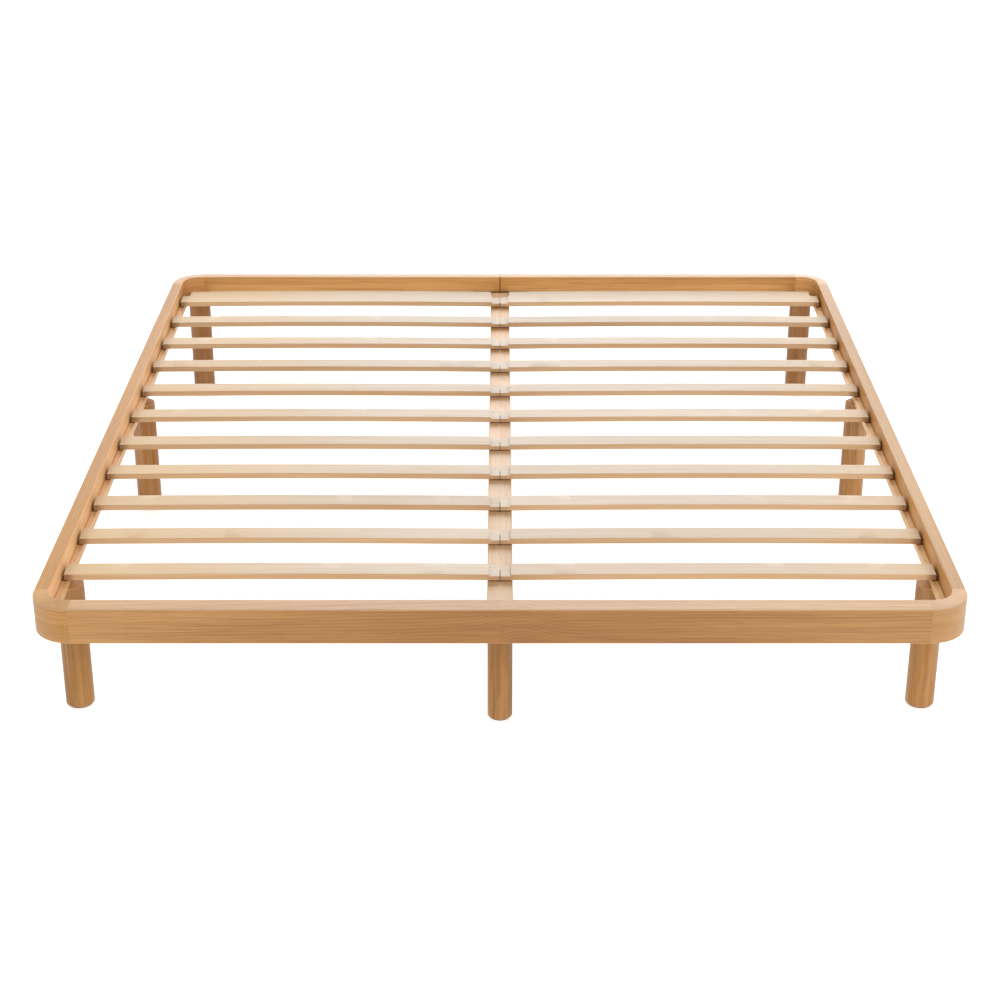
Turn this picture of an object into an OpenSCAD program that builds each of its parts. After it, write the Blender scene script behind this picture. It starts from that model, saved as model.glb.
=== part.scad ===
// Low platform bed frame of solid wood. A ring of rails with round corners stands
// on round legs and holds a centre beam and rows of crowned slats in two halves.
// +Z is up and the foot end faces -Y. The origin is on the floor, under the middle
// of the frame. "Right" is +X, and every left-hand piece mirrors a right-hand one.

/* [Frame] */
// Width across the outer faces of the side rails
bed_w = 1860; // [1500:10:2000]
// Length across the outer faces of the head and foot rails
bed_l = 2075; // [2000:5:2150]
// Height of the rails' top above the floor
bed_h = 342; // [280:1:400]
// Height of every rail
rail_h = 75; // [72:1:84]
// Thickness of the side rails
side_t = 28; // [26:1:32]
// Thickness of the foot rail
foot_t = 45; // [40:1:45]
// Thickness of the head rail
head_t = 30; // [28:1:45]
// Radius of the frame's outer corners
corner_r = 80; // [60:1:80]
// Radius of the frame's inner corners
inner_r = 45; // [30:1:45]
// Length of a corner block along the head or foot rail
corner_arm_w = 82; // [80:1:86]
// Length of a corner block along the side rail
corner_arm_l = 90; // [90:1:110]
// Radius worked on the long edges of the rails
edge_r = 2; // [1.5:0.5:4]

/* [Supports] */
// Depth of the slats' seat below the rails' top
seat_drop = 39; // [38:1:42]
// Width of the ledge along each side rail
ledge_w = 14; // [14:1:18]
// Height of the ledges and of the cleats in the head corners
ledge_h = 16; // [16:1:20]
// Size of the square cleat in each head corner
cleat_size = 70; // [66:1:80]
// Width of the centre beam
beam_w = 52; // [50:1:60]

/* [Slats] */
// Number of slat rows
slat_rows = 11; // [8:1:12]
// Width of a slat
slat_w = 50; // [46:1:60]
// Width of the slats at the head end
head_slat_w = 90; // [80:1:100]
// Thickness of a slat
slat_t = 13; // [12:1:16]
// Height of a slat's crown over its two bearings
slat_crown = 2.2; // [1:0.2:6]
// Gap between the foot rail and the first slat
foot_gap = 161; // [100:1:170]
// Gap between the head rail and the last slat
head_gap = 52; // [40:1:56]
// Gap between the two halves of a row
joint_gap = 2; // [1:0.5:4]
// Depth of the step at a slat's inner end
step_depth = 4; // [2:0.5:5]
// Thickness of the pads under the slats' ends
slat_pad_t = 3; // [2:0.5:4]

/* [Legs] */
// Diameter of the side legs
side_leg_d = 60; // [56:1:64]
// Diameter of the legs under the beam
center_leg_d = 52; // [46:1:56]
// Thickness of the felt pads
pad_t = 3; // [2:0.5:5]
// Distance of the foot legs from the outer face of the foot rail
foot_leg_set = 231; // [218:1:240]
// Distance of the front beam leg from the outer face of the foot rail
beam_leg_set = 176; // [140:1:190]

/* [Hidden] */
$fn = 48;

oak = [0.80, 0.60, 0.39];
oak_dark = [0.74, 0.54, 0.34];
birch = [0.92, 0.82, 0.70];
felt = [0.35, 0.30, 0.26];
steel = [0.70, 0.71, 0.73];
brass = [0.80, 0.66, 0.36];
beech = [0.86, 0.72, 0.56];

// Running gap round hardware in its hole, and overshoot of a cut past a face
slack = 0.05;
cut = 1;

// Heights. The slats lie on pads, and the pads on the ledges, cleats and beam.
rail_z = bed_h - rail_h;
seat_z = bed_h - seat_drop;
bearer_z = seat_z - slat_pad_t;
ledge_z = bearer_z - ledge_h;

// Inner faces of the ring, and where the straight rails end
inner_x = bed_w / 2 - side_t;
inner_foot_y = -bed_l / 2 + foot_t;
inner_head_y = bed_l / 2 - head_t;
rail_end_x = bed_w / 2 - corner_arm_w;
rail_end_y = bed_l / 2 - corner_arm_l;

// Hangers, which carry the beam level with the slats' seat
plate_t = 3;
plate_w = 160;
plate_h = 32;
plate_seat = 50;
beam_z = rail_z + plate_t;

// Slat rows, counted from the head end
foot_slat_y = inner_foot_y + foot_gap;
head_slat_y = inner_head_y - head_gap - head_slat_w;
slat_pitch = (head_slat_y - foot_slat_y) / (slat_rows - 1);
slat_end_gap = 6;
slat_end_x = inner_x - slat_end_gap;
slat_bearing_in = beam_w / 2;
slat_bearing_out = inner_x - ledge_w;
step_x = 22.5;
crown_steps = 20;

// Notches at the back of the head row's slats
notch_w = 18.5;
notch_l = 37;

// Pads between a slat and the ledge, and between a slat and the beam
pad_set = 2;
pad_clear = 0.5;
beam_pad_in = 3;
beam_pad_w = 20;

// Places of the pins and ledge screws, from a slat's foot-side edge
pin_set = 38;
screw_set = 25;
pin_d = 4;
pin_in_wood = 8;
pin_in_slat = 6;
ledge_pin_x = inner_x - 10;
beam_pin_x = 12;

// Legs. The head legs stand inside the corners, under the cleats.
leg_top_r = 1.5;
leg_foot_r = 3;
pad_inset = 4;
foot_leg_in_x = 38;
middle_leg_in_x = 31;
middle_leg_gap = 8;
middle_row = ceil(slat_rows / 2) - 1;
head_leg_in_x = 68;
head_leg_in_y = 48;
foot_leg = [bed_w / 2 - foot_leg_in_x, -bed_l / 2 + foot_leg_set];
middle_leg = [bed_w / 2 - middle_leg_in_x, slat_y(middle_row) + middle_leg_gap];
head_leg = [bed_w / 2 - head_leg_in_x, bed_l / 2 - head_leg_in_y];
side_legs = [foot_leg, middle_leg, head_leg];
head_beam_leg_set = 110;
beam_legs = [
    [0, -bed_l / 2 + beam_leg_set],
    [0, middle_leg.y],
    [0, bed_l / 2 - head_beam_leg_set],
];

// Dowels in the rail joints
dowel_d = 8;
dowel_l = 40;
dowel_rise = 24;

// Screws with countersunk heads
screw_d = 4;
screw_head_d = 8;
screw_head_h = 2;
screw_tip = 4;
screw_point_d = 1;
recess_bar = [4.4, 0.9, 2.4];
screw_l = 34;
ledge_screw_z = ledge_z + 7;
cleat_screw_z = [ledge_z + 5, ledge_z + 11.5];
hanger_screw_x = [38, 66];
hanger_screw_l = 28;
hanger_screw_z = rail_z + 18;
seat_screw_x = 14;
seat_screw_in = 30;
seat_screw_l = 26;
cleat_screw_in = [8, 24];
cleat_screw_l = 86;

// Leg bolts with socket heads, and the threaded inserts that take them. They stand on
// the middle line of the ledge, or on the leg's own axis under a cleat.
bolt_x = inner_x - ledge_w / 2;
leg_bolt_places = [[bolt_x, foot_leg.y], [bolt_x, middle_leg.y], head_leg];
bolt_d = 6;
bolt_head_d = 10;
bolt_head_h = 6;
bolt_l = 45;
bolt_socket = 5;
insert_d = 10;
insert_l = 15;

// Hanger bolts of the beam legs, and their inserts
stud_d = 8;
stud_in_leg = 35;
stud_in_beam = 20;
beam_insert_d = 12;
beam_insert_l = 18;

function slat_name(side, row) = str("slat_", side, row < 10 ? "_0" : "_", row);

// Foot-side edge of a row, and the width of its slats
function slat_y(row) = foot_slat_y + (slat_rows - row) * slat_pitch;
function row_w(row) = row == 1 ? head_slat_w : slat_w;

// Crown of a slat between its bearings, a shallow parabola
function crown_at(t) = slat_crown * 4 * t * (1 - t);

module left() {
    mirror([1, 0, 0]) children();
}

module foot() {
    mirror([0, 1, 0]) children();
}

module both_sides() {
    children();
    left() children();
}

// What a rounding of radius r takes off a square corner at the origin
module edge_waste(r) {
    difference() {
        translate([-cut, -cut]) square(r + cut);
        translate([r, r]) circle(r);
    }
}

module rounded_section(w, h, r) {
    translate([r, 0]) square([w - 2 * r, h]);
    translate([0, r]) square([w, h - 2 * r]);
    for (x = [r, w - r], y = [r, h - r]) {
        translate([x, y]) circle(r);
    }
}

// Half section of a rail, rounded only on its outside at x = reach
module outer_section(reach) {
    difference() {
        square([reach, rail_h]);
        translate([reach, 0]) mirror([1, 0]) edge_waste(edge_r);
        translate([reach, rail_h]) mirror([1, 0]) mirror([0, 1]) edge_waste(edge_r);
    }
}

// Section of the opening inside the ring, flared where the rails' edges are rounded
module inner_section(reach) {
    translate([0, -cut]) square([reach, rail_h + 2 * cut]);
    translate([reach, 0]) edge_waste(edge_r);
    translate([reach, rail_h]) mirror([0, 1]) edge_waste(edge_r);
}

// A section turned through the corner, and run along -X and along -Y from it
module swept_corner(run_w, run_l) {
    rotate_extrude(angle = 90) children();
    rotate([90, 0, 0]) linear_extrude(run_l) children();
    translate([-run_w, 0, 0]) rotate([90, 0, 90]) linear_extrude(run_w) children();
}

// Corner block between a side rail and an end rail of thickness end_t
module corner_block(end_t) {
    color(oak) difference() {
        translate([bed_w / 2, bed_l / 2, rail_z]) difference() {
            translate([-corner_r, -corner_r, 0])
                swept_corner(corner_arm_w - corner_r, corner_arm_l - corner_r)
                    outer_section(corner_r);
            translate([-side_t - inner_r, -end_t - inner_r, 0]) {
                swept_corner(corner_arm_w, corner_arm_l) inner_section(inner_r);
                translate([-corner_arm_w, -corner_arm_l, -cut])
                    cube([corner_arm_w, corner_arm_l, rail_h + 2 * cut]);
            }
        }
        corner_dowels(end_t, slack);
        cleat_screw_pair(slack);
    }
}

// One dowel, centred on the origin and lying along X
module dowel(gap) {
    length = dowel_l + 2 * gap;
    rotate([0, 90, 0]) cylinder(d = dowel_d + 2 * gap, h = length, center = true);
}

module dowel_pair(gap) {
    for (z = [-1, 1]) {
        translate([0, 0, rail_z + rail_h / 2 + z * dowel_rise]) dowel(gap);
    }
}

// Dowels between a corner block and its two rails
module corner_dowels(end_t, gap) {
    translate([rail_end_x, bed_l / 2 - end_t / 2, 0]) dowel_pair(gap);
    translate([bed_w / 2 - side_t / 2, rail_end_y, 0]) rotate([0, 0, 90]) dowel_pair(gap);
}

// Dowels across the butt joint in the middle of an end rail
module splice_dowels(end_t, gap) {
    translate([0, bed_l / 2 - end_t / 2, 0]) dowel_pair(gap);
}

// Right half of an end rail of thickness end_t
module end_rail(end_t) {
    color(oak) difference() {
        translate([0, bed_l / 2 - end_t, rail_z])
            rotate([90, 0, 90]) linear_extrude(rail_end_x) rounded_section(end_t, rail_h, edge_r);
        corner_dowels(end_t, slack);
        splice_dowels(end_t, slack);
        plate_screws(end_t, slack);
        cleat_screw_pair(slack);
    }
}

module side_rail() {
    color(oak) difference() {
        translate([inner_x, rail_end_y, rail_z]) rotate([90, 0, 0])
            linear_extrude(2 * rail_end_y) rounded_section(side_t, rail_h, edge_r);
        corner_dowels(head_t, slack);
        foot() corner_dowels(foot_t, slack);
        ledge_screw_row(slack);
    }
}

// Edge radius of the ledges, cleats and beam
module soft_section(w, h) {
    soft_r = 1.5;
    rounded_section(w, h, soft_r);
}

module ledge() {
    ledge_l = inner_head_y - cleat_size + rail_end_y;
    color(oak_dark) difference() {
        translate([inner_x - ledge_w, inner_head_y - cleat_size, ledge_z])
            rotate([90, 0, 0]) linear_extrude(ledge_l) soft_section(ledge_w, ledge_h);
        ledge_screw_row(slack);
        leg_bolt_set(slack);
        slat_pin_set(slack);
    }
}

// Opening inside the ring, seen from above
module inner_plan() {
    translate([-inner_x, inner_foot_y])
        rounded_section(2 * inner_x, inner_head_y - inner_foot_y, inner_r);
}

module head_cleat() {
    color(oak_dark) difference() {
        intersection() {
            translate([inner_x - cleat_size, inner_head_y - cleat_size, ledge_z])
                cube([cleat_size, cleat_size, ledge_h]);
            translate([0, 0, ledge_z]) linear_extrude(ledge_h) inner_plan();
        }
        cleat_screw_pair(slack);
        leg_bolt_set(slack);
    }
}

module center_beam() {
    beam_l = inner_head_y - inner_foot_y - 2 * plate_t;
    color(oak_dark) difference() {
        translate([-beam_w / 2, inner_head_y - plate_t, beam_z])
            rotate([90, 0, 0]) linear_extrude(beam_l) soft_section(beam_w, bearer_z - beam_z);
        seat_screws(head_t, slack);
        foot() seat_screws(foot_t, slack);
        beam_insert_set(slack);
        beam_stud_set(slack);
        both_sides() slat_pin_set(slack);
    }
}

// Steel plate across an end rail's butt joint, with a seat under the beam's end
module beam_hanger(end_t) {
    color(steel) difference() {
        translate([0, bed_l / 2 - end_t, rail_z]) {
            translate([-plate_w / 2, -plate_t, 0]) cube([plate_w, plate_t, plate_h]);
            translate([-beam_w / 2, -plate_seat, 0]) cube([beam_w, plate_seat, plate_t]);
        }
        both_sides() plate_screws(end_t, slack);
        seat_screws(end_t, slack);
    }
}

// Round leg standing on its pad, with both ends rounded
module round_leg(place, d, top) {
    h = top - pad_t;
    translate([place.x, place.y, pad_t]) rotate_extrude() difference() {
        square([d / 2, h]);
        translate([d / 2, 0]) mirror([1, 0]) edge_waste(leg_foot_r);
        translate([d / 2, h]) mirror([1, 0]) mirror([0, 1]) edge_waste(leg_top_r);
    }
}

// Side leg: its tongue rises inside the ring, and its shoulder bears under the rail
module side_leg(place) {
    lap_h = ledge_z - rail_z + cut;
    color(oak) difference() {
        round_leg(place, side_leg_d, ledge_z);
        translate([0, 0, rail_z]) difference() {
            translate([place.x - side_leg_d, place.y - side_leg_d, 0])
                cube([2 * side_leg_d, 2 * side_leg_d, lap_h]);
            translate([0, 0, -cut]) linear_extrude(lap_h + 2 * cut) inner_plan();
        }
        leg_bolt_set(slack);
        leg_insert_set(slack);
    }
}

module beam_leg(place) {
    color(oak) difference() {
        round_leg(place, center_leg_d, beam_z);
        beam_stud(place, slack);
    }
}

// Half slat on the right, with its inner end stepped down over the beam. The head row
// is notched at the back, beside the corner block and over the beam's end.
module slat(row) {
    run = slat_bearing_out - slat_bearing_in;
    steps = [for (i = [0 : crown_steps]) i / crown_steps];
    under = [for (t = steps) [slat_bearing_in + t * run, crown_at(t)]];
    over = [for (p = under) [p.x, p.y + slat_t]];
    outline = concat(
        [[joint_gap / 2, 0]],
        under,
        [[slat_end_x, 0], [slat_end_x, slat_t]],
        [for (i = [crown_steps : -1 : 0]) over[i]],
        [[step_x, slat_t], [step_x, slat_t - step_depth]],
        [[joint_gap / 2, slat_t - step_depth]]
    );
    color(birch) difference() {
        translate([0, slat_y(row) + row_w(row), seat_z])
            rotate([90, 0, 0]) linear_extrude(row_w(row)) polygon(outline);
        if (row == 1) {
            notch_y = slat_y(row) + head_slat_w - notch_l;
            translate([slat_end_x - notch_w, notch_y, seat_z - cut])
                cube([notch_w + cut, notch_l + cut, slat_t + 2 * cut]);
            translate([-cut, notch_y, seat_z - cut])
                cube([slat_bearing_in + cut, notch_l + cut, slat_t + 2 * cut]);
        }
        slat_pin(row, ledge_pin_x, slack);
        slat_pin(row, beam_pin_x, slack);
    }
}

// Pin that stands in the ledge or the beam and locates a slat through its pad
module slat_pin(row, x, gap) {
    pin_l = pin_in_wood + slat_pad_t + pin_in_slat;
    translate([x, slat_y(row) + pin_set, bearer_z - pin_in_wood - gap])
        cylinder(d = pin_d + 2 * gap, h = pin_l + 2 * gap);
}

module slat_pin_set(gap) {
    for (row = [1 : slat_rows]) {
        slat_pin(row, ledge_pin_x, gap);
        slat_pin(row, beam_pin_x, gap);
    }
}

// Countersunk screw whose head is flush at the origin and whose tip points to -Z
module screw(length, gap) {
    translate([0, 0, -screw_head_h])
        cylinder(d1 = screw_d + 2 * gap, d2 = screw_head_d + 2 * gap, h = screw_head_h + gap);
    translate([0, 0, screw_tip - length])
        cylinder(d = screw_d + 2 * gap, h = length - screw_tip - screw_head_h);
    translate([0, 0, -length - gap])
        cylinder(d1 = screw_point_d, d2 = screw_d + 2 * gap, h = screw_tip + gap);
}

// Cross recess in a screw's head, two bars centred on its face
module cross_recess() {
    for (turn = [0, 90]) {
        rotate([0, 0, turn]) cube(recess_bar, center = true);
    }
}

module real_screw(length) {
    difference() {
        screw(length, 0);
        cross_recess();
    }
}

// A hole's shape when gap is given, and the screw itself when it is 0
module screw_or_hole(length, gap) {
    if (gap > 0) {
        screw(length, gap);
    } else {
        real_screw(length);
    }
}

// One screw through the ledge into the side rail under every slat
module ledge_screw_row(gap) {
    for (row = [1 : slat_rows]) {
        translate([inner_x - ledge_w, slat_y(row) + screw_set, ledge_screw_z])
            rotate([0, -90, 0]) screw_or_hole(screw_l, gap);
    }
}

// Screws through the head-right cleat, one above the other where they cross: the
// lower into the head rail, the upper into the side of the corner block
module cleat_screw_pair(gap) {
    translate([inner_x - cleat_size, inner_head_y - cleat_size, 0]) {
        translate([cleat_screw_in[0], 0, cleat_screw_z[0]])
            rotate([90, 0, 0]) screw_or_hole(cleat_screw_l, gap);
        translate([0, cleat_screw_in[1], cleat_screw_z[1]])
            rotate([0, -90, 0]) screw_or_hole(cleat_screw_l, gap);
    }
}

// Screws through the right half of a hanger's plate
module plate_screws(end_t, gap) {
    for (x = hanger_screw_x) {
        translate([x, bed_l / 2 - end_t - plate_t, hanger_screw_z])
            rotate([90, 0, 0]) screw_or_hole(hanger_screw_l, gap);
    }
}

// Screws up through a hanger's seat into the beam
module seat_screws(end_t, gap) {
    for (x = [-seat_screw_x, seat_screw_x]) {
        translate([x, bed_l / 2 - end_t - seat_screw_in, rail_z])
            rotate([180, 0, 0]) screw_or_hole(seat_screw_l, gap);
    }
}

// Bolt down through the ledge or cleat into a side leg
module leg_bolt(place, gap) {
    head_z = bearer_z - bolt_head_h;
    translate([place.x, place.y, 0]) {
        translate([0, 0, head_z - bolt_l - gap])
            cylinder(d = bolt_d + 2 * gap, h = bolt_l + 2 * gap);
        translate([0, 0, head_z - gap])
            cylinder(d = bolt_head_d + 2 * gap, h = bolt_head_h + gap + (gap > 0 ? cut : 0));
    }
}

module leg_bolt_set(gap) {
    for (place = leg_bolt_places) {
        leg_bolt(place, gap);
    }
}

// Threaded insert in the top of a side leg
module leg_insert(place, gap) {
    translate([place.x, place.y, ledge_z - insert_l - gap])
        cylinder(d = insert_d + 2 * gap, h = insert_l + gap + (gap > 0 ? cut : 0));
}

module leg_insert_set(gap) {
    for (place = leg_bolt_places) {
        leg_insert(place, gap);
    }
}

// Stud that joins a beam leg to the beam
module beam_stud(place, gap) {
    translate([place.x, place.y, beam_z - stud_in_leg - gap])
        cylinder(d = stud_d + 2 * gap, h = stud_in_leg + stud_in_beam + 2 * gap);
}

module beam_stud_set(gap) {
    for (place = beam_legs) {
        beam_stud(place, gap);
    }
}

module beam_insert_set(gap) {
    for (place = beam_legs) {
        translate([place.x, place.y, beam_z - (gap > 0 ? cut : 0)])
            cylinder(d = beam_insert_d + 2 * gap, h = beam_insert_l + gap + (gap > 0 ? cut : 0));
    }
}

module foot_pads() {
    color(felt) {
        both_sides() for (place = side_legs) {
            translate([place.x, place.y, 0]) cylinder(d = side_leg_d - 2 * pad_inset, h = pad_t);
        }
        for (place = beam_legs) {
            translate([place.x, place.y, 0]) cylinder(d = center_leg_d - 2 * pad_inset, h = pad_t);
        }
    }
}

module leg_bolts() {
    color(steel) both_sides() for (place = leg_bolt_places) {
        difference() {
            leg_bolt(place, 0);
            translate([place.x, place.y, bearer_z - bolt_head_h / 2])
                cylinder(d = bolt_socket / cos(30), h = bolt_head_h, $fn = 6);
        }
    }
}

module leg_inserts() {
    color(brass) both_sides() difference() {
        leg_insert_set(0);
        leg_bolt_set(slack);
    }
}

module beam_leg_inserts() {
    color(brass) difference() {
        beam_insert_set(0);
        beam_stud_set(slack);
    }
}

module hanger_screws() {
    color(steel) {
        both_sides() plate_screws(head_t, 0);
        seat_screws(head_t, 0);
        foot() both_sides() plate_screws(foot_t, 0);
        foot() seat_screws(foot_t, 0);
    }
}

module rail_dowels() {
    color(beech) {
        both_sides() corner_dowels(head_t, 0);
        splice_dowels(head_t, 0);
        foot() both_sides() corner_dowels(foot_t, 0);
        foot() splice_dowels(foot_t, 0);
    }
}

// Pads that keep the right half slats off the bare wood of the ledge and the beam
module slat_pads() {
    ledge_pad_w = ledge_w - 2 * pad_clear;
    color(felt) both_sides() difference() {
        for (row = [1 : slat_rows]) {
            pad_l = row_w(row) - (row == 1 ? notch_l : 0) - 2 * pad_set;
            translate([slat_bearing_out + pad_clear, slat_y(row) + pad_set, bearer_z])
                cube([ledge_pad_w, pad_l, slat_pad_t]);
            translate([beam_pad_in, slat_y(row) + pad_set, bearer_z])
                cube([beam_pad_w, pad_l, slat_pad_t]);
        }
        slat_pin_set(slack);
    }
}

left() foot() end_rail(foot_t);  // foot_rail_left
foot() end_rail(foot_t);  // foot_rail_right
left() end_rail(head_t);  // head_rail_left
end_rail(head_t);  // head_rail_right
left() side_rail();  // side_rail_left
side_rail();  // side_rail_right
left() foot() corner_block(foot_t);  // corner_foot_left
foot() corner_block(foot_t);  // corner_foot_right
left() corner_block(head_t);  // corner_head_left
corner_block(head_t);  // corner_head_right
left() ledge();  // ledge_left
ledge();  // ledge_right
left() head_cleat();  // head_cleat_left
head_cleat();  // head_cleat_right
center_beam();
left() side_leg(foot_leg);  // leg_foot_left
side_leg(foot_leg);  // leg_foot_right
left() side_leg(middle_leg);  // leg_middle_left
side_leg(middle_leg);  // leg_middle_right
left() side_leg(head_leg);  // leg_head_left
side_leg(head_leg);  // leg_head_right
beam_leg(beam_legs[0]);  // beam_leg_foot
beam_leg(beam_legs[1]);  // beam_leg_middle
beam_leg(beam_legs[2]);  // beam_leg_head
for (row = [1 : slat_rows]) {
    left() slat(row);
    slat(row);
}
foot_pads();
leg_bolts();
leg_inserts();
color(steel) beam_stud_set(0);  // beam_leg_studs
beam_leg_inserts();
foot() beam_hanger(foot_t);  // beam_hanger_foot
beam_hanger(head_t);  // beam_hanger_head
hanger_screws();
color(steel) both_sides() ledge_screw_row(0);  // ledge_screws
color(steel) both_sides() cleat_screw_pair(0);  // cleat_screws
rail_dowels();
color(beech) both_sides() slat_pin_set(0);  // slat_pins
slat_pads();
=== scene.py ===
"""Low platform bed frame of oiled oak with pale split slats, in a plain white studio.

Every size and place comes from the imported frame. Metres, +Z up, foot end at -Y.
"""
import bpy
import math
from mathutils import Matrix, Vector


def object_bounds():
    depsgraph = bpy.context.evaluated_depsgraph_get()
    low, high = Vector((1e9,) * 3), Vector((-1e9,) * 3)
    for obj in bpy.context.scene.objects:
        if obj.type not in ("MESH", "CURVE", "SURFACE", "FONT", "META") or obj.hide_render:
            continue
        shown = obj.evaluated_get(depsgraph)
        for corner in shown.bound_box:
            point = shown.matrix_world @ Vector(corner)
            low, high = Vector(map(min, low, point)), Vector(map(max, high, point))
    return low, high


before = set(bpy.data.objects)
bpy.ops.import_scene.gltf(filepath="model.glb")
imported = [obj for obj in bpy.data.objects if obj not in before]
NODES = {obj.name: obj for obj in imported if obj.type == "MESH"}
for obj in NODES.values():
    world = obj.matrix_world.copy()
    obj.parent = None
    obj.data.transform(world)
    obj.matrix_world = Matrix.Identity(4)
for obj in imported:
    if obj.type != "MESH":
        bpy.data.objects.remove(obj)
CAD_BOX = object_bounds()
LOW, HIGH = CAD_BOX
SLAT_ROWS = 11


# ---------------------------------------------------------------- camera
def make_camera():
    """A long lens in front of the foot end, looking down on the slats."""
    set_back = 3.548   # from the foot rail's outer face
    above_top = 1.8667
    pitch_down = math.radians(24.67)
    data = bpy.data.cameras.new("camera")
    data.lens = 73.67
    data.sensor_width = 36.0
    cam = bpy.data.objects.new("camera", data)
    bpy.context.scene.collection.objects.link(cam)
    cam.location = (0.0, LOW.y - set_back, HIGH.z + above_top)
    cam.rotation_euler = (math.pi / 2 - pitch_down, 0.0, 0.0)
    bpy.context.scene.camera = cam


make_camera()


# ---------------------------------------------------------------- node helpers
def add_node(tree, kind, inputs=None, **props):
    """A shader node with its properties and its inputs, given by name or by number."""
    made = tree.nodes.new(kind)
    for name, value in props.items():
        setattr(made, name, value)
    for key, value in (inputs or {}).items():
        if isinstance(value, bpy.types.NodeSocket):
            tree.links.new(value, made.inputs[key])
        else:
            made.inputs[key].default_value = value
    return made


def maths(tree, operation, a, b=0.0, c=0.0, clamp=False):
    made = add_node(tree, "ShaderNodeMath", {0: a, 1: b, 2: c}, operation=operation, use_clamp=clamp)
    return made.outputs[0]


def vector_maths(tree, operation, a, b=(0.0, 0.0, 0.0)):
    made = add_node(tree, "ShaderNodeVectorMath", {0: a, 1: b}, operation=operation)
    return made.outputs["Value" if operation in ("LENGTH", "DOT_PRODUCT") else "Vector"]


def noise(tree, vector, detail=2.0, roughness=0.5):
    made = add_node(
        tree, "ShaderNodeTexNoise",
        {"Vector": vector, "Scale": 1.0, "Detail": detail, "Roughness": roughness},
    )
    return made.outputs["Fac"]


def remap(tree, value, low, high, to_low=0.0, to_high=1.0):
    made = add_node(
        tree, "ShaderNodeMapRange",
        {"Value": value, "From Min": low, "From Max": high, "To Min": to_low, "To Max": to_high},
        interpolation_type="SMOOTHSTEP",
    )
    return made.outputs["Result"]


def mix_colour(tree, factor, a, b, blend="MIX"):
    made = add_node(tree, "ShaderNodeMix", {0: factor, 6: a, 7: b}, data_type="RGBA", blend_type=blend)
    return made.outputs[2]


def split(tree, vector):
    made = add_node(tree, "ShaderNodeSeparateXYZ", {0: vector})
    return made.outputs[0], made.outputs[1], made.outputs[2]


def rgba(r, g, b):
    return (r, g, b, 1.0)


def from_srgb(r, g, b):
    """A linear colour from 8-bit display values."""
    def channel(v):
        v /= 255.0
        return v / 12.92 if v <= 0.04045 else ((v + 0.055) / 1.055) ** 2.4
    return rgba(channel(r), channel(g), channel(b))


def new_material(name):
    material = bpy.data.materials.new(name)
    material.use_nodes = True
    tree = material.node_tree
    tree.nodes.clear()
    shader = tree.nodes.new("ShaderNodeBsdfPrincipled")
    output = tree.nodes.new("ShaderNodeOutputMaterial")
    tree.links.new(shader.outputs[0], output.inputs["Surface"])
    return material, tree, shader


def add_bump(tree, shader, height, distance, strength=1.0):
    bump = add_node(tree, "ShaderNodeBump",
                    {"Height": height, "Distance": distance, "Strength": strength})
    tree.links.new(bump.outputs["Normal"], shader.inputs["Normal"])


# ---------------------------------------------------------------- wood
# turns that bring the grain of a board along X; the bent ones stay as they are
AXIS_TURN = {
    "x": (0.0, 0.0, 0.0),
    "y": (0.0, 0.0, -math.pi / 2),
    "z": (0.0, math.pi / 2, 0.0),
    "round": (0.0, 0.0, 0.0),
}


class Wood:
    """The look of one kind of wood."""

    def __init__(self, light, dark, line, ring_gap, ring, streak, fibre, wear_and_highlight_reach, rough, ior):
        self.light = light        # colour of the early wood
        self.dark = dark          # colour of the late wood
        self.line = line          # colour of ring lines and pores
        self.ring_gap = ring_gap  # metres between rings
        self.ring = ring          # strength of the ring lines
        self.streak = streak      # strength of the long streaks
        self.fibre = fibre        # strength of the fine fibres
        self.wear_and_highlight_reach = wear_and_highlight_reach            # how far the pale arrises reach: wear, and a painted highlight
        self.rough = rough        # base roughness
        self.ior = ior            # index of the finish


OAK = Wood(rgba(0.44, 0.212, 0.06), rgba(0.31, 0.133, 0.030), rgba(0.15, 0.052, 0.010),
           0.0066, 0.48, 1.2, 0.75, 0.30, 0.34, 1.5)
CALM_OAK = Wood(OAK.light, OAK.dark, OAK.line, 0.0066, 0.2, 0.5, 0.6, 0.25, 0.36, 1.25)
SUPPORT_OAK = Wood(from_srgb(192, 146, 98), from_srgb(168, 120, 72), from_srgb(134, 88, 48),
                   0.0045, 0.3, 0.9, 0.5, 0.2, 0.38, 1.48)
BIRCH = Wood(rgba(0.53, 0.43, 0.32), rgba(0.43, 0.305, 0.2), rgba(0.33, 0.2, 0.11),
             0.009, 0.22, 0.9, 0.4, 0.1, 0.42, 1.4)
WEAR_AND_HIGHLIGHT = rgba(0.8, 0.6, 0.38)       # worn arrises of every board, with a painted highlight along them
# painted shade in the slot under the slats' middle joints
JOINT_SHADE = rgba(0.03, 0.015, 0.006)
PLY_EDGE = rgba(0.55, 0.37, 0.21)
PLY_EDGE_DARK = rgba(0.414, 0.238, 0.11)
PLY_PITCH = 0.0026                  # one light and one dark ply
# slat tops out of the painted sheen, far from the middle
BIRCH_OUT_OF_SHEEN = rgba(0.56, 0.35, 0.14)
END_GRAIN_AND_SHADE = rgba(0.16, 0.066, 0.02)     # dark end grain of the slats, and painted shade at their ends
SLAT_END_SHADE = (0.868, 0.892)          # where the painted shade at the slat ends starts and where it is full, from the middle
JOINT_SHADE_REACH = 0.004                 # half the width of the painted shade under the slats' middle joints


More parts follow.
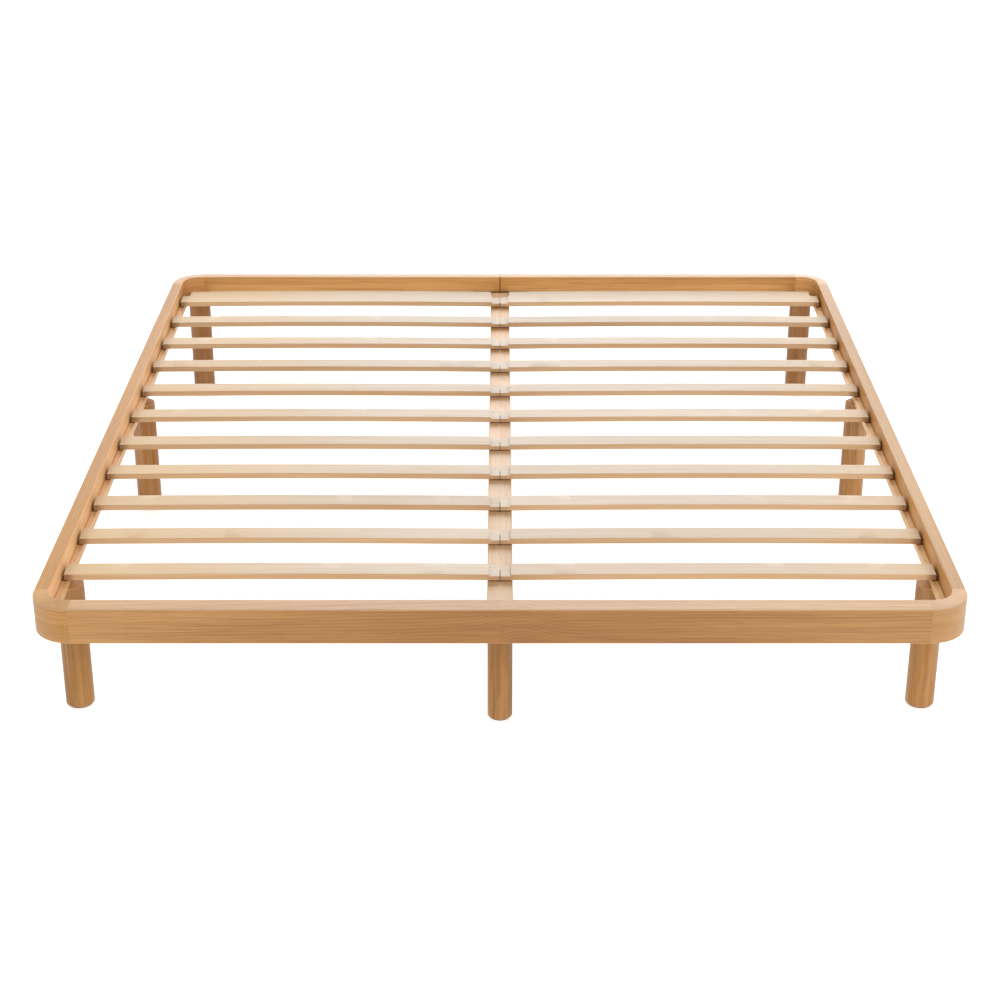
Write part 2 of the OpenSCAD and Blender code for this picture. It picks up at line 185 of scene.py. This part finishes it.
class Board:
    """One board: which wood, which way its grain runs, and where it was cut from the log."""

    def __init__(self, wood, axis, number, tone=1.0, top=None, right=None, shade=None, ior=None,
                 pith=(0.03, 0.09), tilt=0.014, swirl=None, joint_shade_places=None):
        self.wood = wood
        self.axis = axis      # direction of the grain, or "round" when it follows a bend
        self.number = number  # makes every board different
        # lighter or darker than its kind, as one number or for red, green and blue
        self.tone = tone if isinstance(tone, tuple) else (tone, tone, tone)
        self.top = top        # painted light and shade: a further tone for faces that look up
        self.right = right    # painted light and shade: a further tone for faces that look to the right
        self.shade = shade    # places along the grain and the tones there, instead of the one tone
        self.pith = pith      # distance of the log's heart across the grain
        self.tilt = tilt      # slope of the rings against the board's axis
        self.swirl = swirl    # place along the grain, reach and height of a bulge of the rings
        self.joint_shade_places = joint_shade_places    # painted shade on the top under the slats' middle joints: the first one's place, their gap and length
        self.ior = ior or wood.ior


def grain_coords(tree, board):
    """Object coordinates with X along the grain, and the same moved for each board."""
    coords = add_node(tree, "ShaderNodeTexCoord").outputs["Object"]
    turned = add_node(tree, "ShaderNodeMapping",
                      {"Vector": coords, "Rotation": AXIS_TURN[board.axis]}).outputs[0]
    n = board.number
    moved = vector_maths(tree, "ADD", turned, (n * 3.7, n * 0.113 % 1.0, n * 0.271 % 1.0))
    return coords, turned, moved


def stretched(tree, board, vector, along, across):
    """The vector scaled so that a noise read there runs along the grain."""
    sideways = along if board.axis == "round" else across
    return vector_maths(tree, "MULTIPLY", vector, (along, sideways, across))


def ring_lines(tree, board, turned, moved):
    """Late-wood lines of the year rings where the board's faces cut them."""
    tilted = add_node(tree, "ShaderNodeMapping",
                      {"Vector": turned, "Rotation": (0.0, board.tilt, board.tilt * 0.6)}).outputs[0]
    centre = vector_maths(tree, "ADD", tilted, (0.0, board.pith[0], board.pith[1]))
    across = (0.0, 0.0, 1.0) if board.axis == "round" else (0.0, 1.0, 1.0)
    radius = vector_maths(tree, "LENGTH", vector_maths(tree, "MULTIPLY", centre, across))
    waviness = 0.022
    slow = noise(tree, stretched(tree, board, moved, 1.1, 6.0), 2.0, 0.5)
    radius = maths(tree, "MULTIPLY_ADD", slow, waviness, radius)
    if board.swirl:
        place, reach, height = board.swirl
        along = split(tree, turned)[0]
        off = maths(tree, "DIVIDE", maths(tree, "SUBTRACT", along, place), reach)
        bulge = maths(tree, "EXPONENT", maths(tree, "MULTIPLY", maths(tree, "MULTIPLY", off, off), -1.0))
        radius = maths(tree, "MULTIPLY_ADD", bulge, -height, radius)
    saw = maths(tree, "FRACT", maths(tree, "DIVIDE", radius, board.wood.ring_gap))
    late = maths(tree, "POWER", saw, 2.4)
    fade = remap(tree, noise(tree, stretched(tree, board, moved, 2.6, 48.0), 1.0), 0.36, 0.64, 0.15, 1.0)
    if board.swirl:
        fade = maths(tree, "MAXIMUM", fade, maths(tree, "MULTIPLY", bulge, 0.85))
    return maths(tree, "MULTIPLY", late, fade)


def shaded(tree, board, colour, turned):
    """The board's own tone, or the tones at places along its grain.

    Places are counted out from the bed's middle on the end rails and corners, from foot to
    head on the long boards, and up from the floor on the legs.
    """
    if not board.shade:
        return mix_colour(tree, 1.0, colour, rgba(*board.tone), "MULTIPLY")
    along = split(tree, turned)[0]
    if board.axis in ("x", "round"):
        along = maths(tree, "ABSOLUTE", along)
    (last, tone), *rest = board.shade
    tone = rgba(*tone)
    for place, next_tone in rest:
        tone = mix_colour(tree, remap(tree, along, last, place), tone, rgba(*next_tone))
        last = place
    return mix_colour(tree, 1.0, colour, tone, "MULTIPLY")


def wood_material(name, board, slat=False):
    """Procedural wood: year rings, streaks, fibres and pores, pale on the edges from wear and a painted
    highlight, with painted light and shade on some faces.
    """
    material, tree, shader = new_material(name)
    wood = board.wood
    coords, turned, moved = grain_coords(tree, board)
    rings = ring_lines(tree, board, turned, moved)
    broad = noise(tree, stretched(tree, board, moved, 1.3, 8.0), 2.0)
    streaks = noise(tree, stretched(tree, board, moved, 2.0, 130.0), 2.0, 0.6)
    lines = noise(tree, stretched(tree, board, moved, 6.5, 420.0), 2.0, 0.55)
    fibres = noise(tree, stretched(tree, board, moved, 22.0, 1500.0), 1.0)
    pores = remap(tree, noise(tree, stretched(tree, board, moved, 45.0, 1700.0), 1.0), 0.6, 0.78)
    veins = remap(tree, noise(tree, stretched(tree, board, moved, 9.0, 260.0), 2.0, 0.6), 0.56, 0.72)

    mix = maths(tree, "MULTIPLY_ADD", maths(tree, "SUBTRACT", broad, 0.5), 1.1, 0.5)
    for part, weight in ((streaks, wood.streak), (lines, wood.streak), (fibres, wood.fibre)):
        mix = maths(tree, "MULTIPLY_ADD", maths(tree, "SUBTRACT", part, 0.5), weight, mix)
    mix = maths(tree, "MAXIMUM", maths(tree, "MINIMUM", mix, 1.0), 0.0)
    colour = mix_colour(tree, mix, wood.light, wood.dark)
    normal = add_node(tree, "ShaderNodeNewGeometry").outputs["Normal"]
    side, _, up = split(tree, normal)
    rise = maths(tree, "ABSOLUTE", up)
    plain = remap(tree, up, 0.5, 0.9, 1.0, 0.35)
    for part, weight in ((rings, wood.ring), (veins, wood.ring * 0.6), (pores, 0.3)):
        part = maths(tree, "MULTIPLY", part, plain)
        colour = mix_colour(tree, maths(tree, "MULTIPLY", part, weight), colour, wood.line)
    if slat:
        colour = slat_colour(tree, colour, coords, side, rise, mix)
    colour = shaded(tree, board, colour, turned)
    # painted light and shade: faces that look up or to the right get their own tones
    for tone, facing in ((board.top, up), (board.right, side)):
        if tone:
            facing_tone = mix_colour(tree, remap(tree, facing, 0.5, 0.9), rgba(1, 1, 1), rgba(*tone))
            colour = mix_colour(tree, 1.0, colour, facing_tone, "MULTIPLY")
    # painted shade under the slats' middle joints
    if board.joint_shade_places:
        colour = paint_joint_shade(tree, board, colour, coords, up)
    # normals between level and upright are those of the rounded arrises, paled for wear and a painted
    # highlight
    on_edge = maths(tree, "MULTIPLY", rise, maths(tree, "SUBTRACT", 1.0, rise))
    on_edge = maths(tree, "MULTIPLY", on_edge, 4.0 * wood.wear_and_highlight_reach, clamp=True)
    colour = mix_colour(tree, on_edge, colour, WEAR_AND_HIGHLIGHT)
    tree.links.new(colour, shader.inputs["Base Color"])

    rough = maths(tree, "MULTIPLY_ADD", fibres, 0.14, wood.rough)
    tree.links.new(maths(tree, "MULTIPLY_ADD", rings, 0.08, rough), shader.inputs["Roughness"])
    shader.inputs["IOR"].default_value = board.ior
    relief = maths(tree, "SUBTRACT", maths(tree, "MULTIPLY", fibres, 0.6), pores)
    add_bump(tree, shader, relief, 0.00012, 0.6)
    return material


def paint_joint_shade(tree, board, colour, coords, up):
    """Painted shade on the middle of a board's top, at regular places along the bed, under the slats'
    middle joints.
    """
    x, y, _ = split(tree, coords)
    first, gap, length = board.joint_shade_places
    place = maths(tree, "FLOORED_MODULO", maths(tree, "SUBTRACT", y, first), gap)
    here = maths(tree, "LESS_THAN", place, length)
    across = maths(tree, "LESS_THAN", maths(tree, "ABSOLUTE", x), JOINT_SHADE_REACH)
    here = maths(tree, "MULTIPLY", here, across)
    here = maths(tree, "MULTIPLY", here, maths(tree, "GREATER_THAN", up, 0.5))
    return mix_colour(tree, here, colour, JOINT_SHADE)


def slat_colour(tree, face, coords, side, rise, mix):
    """Laminated slat: browner plies on the edges, ends darkened by painted shade, and browner far from
    the middle, where its painted sheen fades.
    """
    x, _, z = split(tree, coords)
    ply = maths(tree, "SINE", maths(tree, "MULTIPLY", z, 2 * math.pi / PLY_PITCH))
    ply = maths(tree, "MULTIPLY_ADD", ply, 0.3, mix)
    edge = mix_colour(tree, maths(tree, "MAXIMUM", ply, 0.0), PLY_EDGE, PLY_EDGE_DARK)
    # painted sheen: the palest place lies a little to the right of the middle, and the slats get browner
    # outwards
    out = maths(tree, "ABSOLUTE", maths(tree, "SUBTRACT", x, 0.15))
    face = mix_colour(tree, remap(tree, out, 0.35, 1.0, 0.0, 0.75), face, BIRCH_OUT_OF_SHEEN)
    # painted shade at the slat ends, where the ledge and the rail shade them
    near_end = remap(tree, maths(tree, "ABSOLUTE", x), *SLAT_END_SHADE)
    face = mix_colour(tree, maths(tree, "MULTIPLY", near_end, 0.14), face, END_GRAIN_AND_SHADE)
    edge = mix_colour(tree, maths(tree, "MULTIPLY", near_end, 0.7), edge, END_GRAIN_AND_SHADE)
    colour = mix_colour(tree, remap(tree, rise, 0.35, 0.8), edge, face)
    # dark end grain, which also paints the shade in the gaps at the slats' ends and middle joints
    end_grain = remap(tree, maths(tree, "ABSOLUTE", side), 0.5, 0.9)
    return mix_colour(tree, end_grain, colour, END_GRAIN_AND_SHADE)


# ---------------------------------------------------------------- other materials
def felt_material():
    material, tree, shader = new_material("felt")
    coords = add_node(tree, "ShaderNodeTexCoord").outputs["Object"]
    hairs = noise(tree, vector_maths(tree, "MULTIPLY", coords, (900.0, 900.0, 900.0)), 4.0, 0.7)
    colour = mix_colour(tree, hairs, from_srgb(98, 52, 20), from_srgb(138, 84, 42))
    tree.links.new(colour, shader.inputs["Base Color"])
    shader.inputs["Roughness"].default_value = 0.95
    shader.inputs["Specular IOR Level"].default_value = 0.2
    add_bump(tree, shader, hairs, 0.0005)
    return material


def metal_material(name, colour, roughness, metallic=1.0, grain=900.0):
    material, tree, shader = new_material(name)
    coords = add_node(tree, "ShaderNodeTexCoord").outputs["Object"]
    scratches = noise(tree, vector_maths(tree, "MULTIPLY", coords, (grain, grain * 0.1, grain)), 3.0)
    clouds = noise(tree, vector_maths(tree, "MULTIPLY", coords, (60.0, 60.0, 60.0)), 2.0)
    darker = tuple(c * 0.8 for c in colour[:3]) + (1.0,)
    tree.links.new(mix_colour(tree, clouds, colour, darker), shader.inputs["Base Color"])
    shader.inputs["Metallic"].default_value = metallic
    tree.links.new(maths(tree, "MULTIPLY_ADD", scratches, 0.25, roughness - 0.12),
                   shader.inputs["Roughness"])
    add_bump(tree, shader, scratches, 0.00005)
    return material


# ---------------------------------------------------------------- dressing the CAD nodes
def set_material(name, material):
    """Gives a CAD node its material."""
    slots = NODES[name].material_slots
    if not slots:
        NODES[name].data.materials.append(material)
    for s in NODES[name].material_slots:
        s.link = "OBJECT"
        s.material = material


def soften(name, width=0.0007, segments=2):
    """Worked arrises: a small bevel on every sharp edge of a CAD node."""
    part = NODES[name]
    weld = part.modifiers.new("weld", "WELD")
    weld.merge_threshold = 0.00002
    bevel = part.modifiers.new("arris", "BEVEL")
    bevel.width = width
    bevel.segments = segments
    bevel.limit_method = "ANGLE"
    bevel.angle_limit = math.radians(40)
    bevel.harden_normals = True


# ---------------------------------------------------------------- tones of the boards
SEAM_X = 0.85     # the end rails' seams with the corner blocks
BEND_X = 0.925    # the outside of the corner blocks
# Low pith, and a swirl of the grain beside the middle joint of the foot rail
FOOT_RINGS = {"pith": (1.06, -0.235), "tilt": 0.025, "swirl": (0.04, 0.06, 0.022)}
# painted sheen: paler tops of the foot rail
FOOT_TOP = (1.2, 1.3, 1.1)
# The head rail is lightened as painted light, has a dark seam in the middle and gets paler towards its
# ends
HEAD_TONE = (1.4, 1.54, 1.76)
HEAD_SHADE = [(0.0008, (0.6, 0.56, 0.5)), (0.003, HEAD_TONE), (0.02, HEAD_TONE),
              (0.3, (1.42, 1.58, 1.95))]
# painted shade: the head rail's top is darker against its sheen
HEAD_TOP = (0.8, 0.72, 0.55)
# Painted shade: the side rails get darker and warmer from the foot to the head
RAIL_LEFT_SHADE = [(-0.6, (1.45, 1.45, 1.4)), (0.0, (1.37, 1.34, 1.25)), (0.4, (1.26, 1.2, 1.06)),
                   (0.85, (1.2, 1.12, 0.95))]
RAIL_RIGHT_SHADE = [(-0.7, (1.42, 1.52, 1.72)), (-0.3, (1.3, 1.34, 1.4)), (0.3, (1.22, 1.22, 1.2)),
                    (0.85, (1.14, 1.1, 1.0))]
# Painted light lifts the beam out of the slats' shade, most in its middle and at its end behind the head
# slats; a painted shadow line lies at the rail
BEAM_SHADE = [(-0.9, (1.02, 1.17, 1.45)), (-0.4, (1.05, 1.27, 1.6)), (0.05, (1.2, 1.36, 1.74)),
              (0.3, (1.08, 1.18, 1.42)), (0.62, (1.04, 1.02, 0.9)), (0.952, (1.02, 1.01, 0.82)),
              (0.958, (1.8, 2.4, 3.7)), (0.99, (1.8, 2.4, 3.7)), (0.993, (0.25, 0.18, 0.12))]
# painted highlight on the end-grain tops of the legs
LEG_TOP = (1.5, 1.6, 1.7)
MATT = 1.33                         # index of a finish with little sheen


def y_range(name):
    """Front and back of a CAD node."""
    part = NODES[name]
    ys = [(part.matrix_world @ Vector(corner)).y for corner in part.bound_box]
    return min(ys), max(ys)


def slat_places():
    """The front of a slat, the gap to the next one, and its length along the bed."""
    front, back = y_range(f"slat_right_{SLAT_ROWS:02d}")
    return front, y_range(f"slat_right_{SLAT_ROWS - 1:02d}")[0] - front, back - front


def corner_shade(at_seam, at_bend):
    """From the seam with the end rail out to the bend."""
    return [(SEAM_X, at_seam), (BEND_X, at_bend)]


def leg_shade(tone):
    """Painted shade: darker where the leg goes up behind the rail, under the slats."""
    return [(0.2, tone), (0.25, tuple(0.82 * t for t in tone))]


OAK_BOARDS = {
    "foot_rail_left": Board(OAK, "x", 1, top=(1.08, 1.03, 0.55), **FOOT_RINGS,
                            shade=[(0.05, (0.86, 0.83, 0.66)), (SEAM_X, (1.05, 1.12, 1.2))]),
    "foot_rail_right": Board(OAK, "x", 2, top=FOOT_TOP, **FOOT_RINGS,
                             shade=[(0.05, (0.78, 0.72, 0.54)), (SEAM_X, (0.99, 1.05, 1.08))]),
    "head_rail_left": Board(OAK, "x", 3, top=HEAD_TOP, shade=HEAD_SHADE, ior=MATT),
    "head_rail_right": Board(OAK, "x", 4, top=HEAD_TOP, shade=HEAD_SHADE, ior=MATT),
    # painted light on the inner faces of the left rail and its corner, which look to the right
    "side_rail_left": Board(CALM_OAK, "y", 5, top=(0.9, 0.92, 0.67), right=(1.4, 1.78, 3.3),
                            shade=RAIL_LEFT_SHADE),
    "side_rail_right": Board(CALM_OAK, "y", 6, top=(0.94, 1.11, 1.68), shade=RAIL_RIGHT_SHADE),
    "corner_foot_left": Board(OAK, "round", 7, top=(0.95, 0.87, 0.52), right=(1.3, 1.55, 2.2), ior=1.25,
                              shade=corner_shade((1.09, 1.2, 1.45), (1.34, 1.58, 2.5))),
    "corner_foot_right": Board(OAK, "round", 8, top=(1.13, 1.13, 1.05),
                               shade=corner_shade((1.02, 1.09, 1.17), (1.16, 1.31, 1.75))),
    # painted light on the head corners, which lie in shade, and painted shade on their tops
    "corner_head_left": Board(OAK, "round", 9, (1.75, 1.92, 2.6), (0.7, 0.64, 0.5), ior=MATT),
    "corner_head_right": Board(OAK, "round", 10, (1.85, 2.15, 2.9), (0.68, 0.62, 0.48), ior=MATT),
    "leg_foot_left": Board(OAK, "z", 11, top=LEG_TOP, shade=leg_shade((0.88, 0.88, 0.84)), ior=MATT),
    "leg_foot_right": Board(OAK, "z", 12, top=LEG_TOP, shade=leg_shade((0.96, 0.98, 0.98)), ior=MATT),
    "leg_middle_left": Board(OAK, "z", 13, top=LEG_TOP, shade=leg_shade((0.82, 0.76, 0.7)), ior=MATT),
    "leg_middle_right": Board(OAK, "z", 14, top=LEG_TOP, shade=leg_shade((1.02, 1.05, 1.2)), ior=MATT),
    # painted shade: the head legs are darker
    "leg_head_left": Board(OAK, "z", 15, (0.63, 0.56, 0.47), LEG_TOP, ior=MATT),
    "leg_head_right": Board(OAK, "z", 16, (0.72, 0.67, 0.6), LEG_TOP, ior=MATT),
    # painted shade on the right side of the foot beam leg
    "beam_leg_foot": Board(OAK, "z", 17, (0.87, 0.88, 0.86), right=(0.68, 0.68, 0.68), ior=MATT),
    "beam_leg_middle": Board(OAK, "z", 18, (0.82, 0.8, 0.76), ior=MATT),
    "beam_leg_head": Board(OAK, "z", 19, (0.82, 0.8, 0.76), ior=MATT),
}
SUPPORT_BOARDS = {
    # painted light: the ledges are lightened where the slats shade them
    "ledge_left": Board(SUPPORT_OAK, "y", 21, (1.3, 1.45, 1.55)),
    "ledge_right": Board(SUPPORT_OAK, "y", 22, (1.5, 1.75, 1.95)),
    "head_cleat_left": Board(SUPPORT_OAK, "x", 23),
    "head_cleat_right": Board(SUPPORT_OAK, "x", 24),
    "center_beam": Board(SUPPORT_OAK, "y", 25, shade=BEAM_SHADE, joint_shade_places=slat_places()),
}


def slat_tone(row, side):
    """Slats get a little darker towards the head, all but its wide row, and differ by a pattern."""
    base = 1.02 if row == 1 else min(0.87 + 0.016 * row, 1.03)
    return base + 0.025 * math.sin(row * 2.4 + (1.3 if side == "left" else 0.0))


def dress_wood():
    for name, board in {**OAK_BOARDS, **SUPPORT_BOARDS}.items():
        set_material(name, wood_material("wood_" + name, board))
        soften(name)
    for side in ("left", "right"):
        for row in range(1, SLAT_ROWS + 1):
            name = f"slat_{side}_{row:02d}"
            number = 30 + 2 * row + (side == "right")
            board = Board(BIRCH, "x", number, slat_tone(row, side), pith=(0.02, 0.06), tilt=0.01)
            set_material(name, wood_material("wood_" + name, board, slat=True))
            soften(name, 0.0012, 3)
    beech = wood_material("beech", Board(BIRCH, "x", 60, 0.9))
    set_material("slat_pins", beech)
    set_material("rail_dowels", beech)


def dress_hardware():
    felt = felt_material()
    set_material("foot_pads", felt)
    set_material("slat_pads", felt)
    zinc = metal_material("zinc_steel", rgba(0.62, 0.62, 0.6), 0.35)
    for name in ("leg_bolts", "beam_leg_studs", "hanger_screws", "ledge_screws", "cleat_screws"):
        set_material(name, zinc)
    black = metal_material("bracket_steel", rgba(0.03, 0.03, 0.03), 0.5, 0.0)
    set_material("beam_hanger_foot", black)
    set_material("beam_hanger_head", black)
    brass = metal_material("brass", rgba(0.72, 0.52, 0.22), 0.35)
    set_material("leg_inserts", brass)
    set_material("beam_leg_inserts", brass)


dress_wood()
dress_hardware()


# ---------------------------------------------------------------- studio
def make_floor():
    """A wide pale floor that is clear when seen from below."""
    size = 30.0        # half the side of the square
    below = 0.0002     # keeps it clear of the undersides of the pads
    data = bpy.data.meshes.new("floor")
    corners = [(-size, -size, 0), (size, -size, 0), (size, size, 0), (-size, size, 0)]
    data.from_pydata(corners, [], [(0, 1, 2, 3)])
    floor = bpy.data.objects.new("floor", data)
    bpy.context.scene.collection.objects.link(floor)
    floor.location.z = LOW.z - below
    material, tree, shader = new_material("floor")
    coords = add_node(tree, "ShaderNodeTexCoord").outputs["Object"]
    cloud = noise(tree, vector_maths(tree, "MULTIPLY", coords, (3.0, 3.0, 3.0)), 3.0)
    tree.links.new(mix_colour(tree, cloud, rgba(0.9, 0.9, 0.9), rgba(0.93, 0.93, 0.93)),
                   shader.inputs["Base Color"])
    shader.inputs["Roughness"].default_value = 0.9
    shader.inputs["Specular IOR Level"].default_value = 0.0
    shader.inputs["Emission Color"].default_value = rgba(1.0, 1.0, 1.0)
    shader.inputs["Emission Strength"].default_value = 0.4
    clear = tree.nodes.new("ShaderNodeBsdfTransparent")
    behind = add_node(tree, "ShaderNodeNewGeometry").outputs["Backfacing"]
    mixed = add_node(tree, "ShaderNodeMixShader", {0: behind, 1: shader.outputs[0], 2: clear.outputs[0]})
    output = next(n for n in tree.nodes if n.type == "OUTPUT_MATERIAL")
    tree.links.new(mixed.outputs[0], output.inputs["Surface"])
    data.materials.append(material)


def area_light(name, place, target, size, radiance):
    """A rectangular soft light of that width, height and brightness, pointed at a target."""
    data = bpy.data.lights.new(name, "AREA")
    data.shape = "RECTANGLE"
    data.size, data.size_y = size
    data.energy = radiance * math.pi * size[0] * size[1]
    light = bpy.data.objects.new(name, data)
    bpy.context.scene.collection.objects.link(light)
    light.location = place
    light.rotation_euler = (Vector(target) - Vector(place)).to_track_quat("-Z", "Y").to_euler()
    light.visible_camera = False
    return light


def make_lights():
    """A white room, a wide bright wall behind the head end for the sheen, and a key in front."""
    world = bpy.data.worlds.new("studio")
    bpy.context.scene.world = world
    world.use_nodes = True
    background = world.node_tree.nodes["Background"]
    background.inputs["Color"].default_value = rgba(1.0, 1.0, 1.0)
    background.inputs["Strength"].default_value = 0.6
    area_light("back_wall", (0.0, 8.5, 3.8), (0.0, 0.0, 0.3), (18.0, 5.6), 3.4)
    area_light("back_middle", (0.5, 8.4, 3.8), (0.0, 0.0, 0.3), (4.2, 5.6), 2.2)
    area_light("front_key", (2.0, -6.8, 4.6), (0.0, 0.0, 0.3), (4.0, 4.0), 6.2)
    bpy.context.scene.view_settings.view_transform = "Standard"


make_floor()
make_lights()
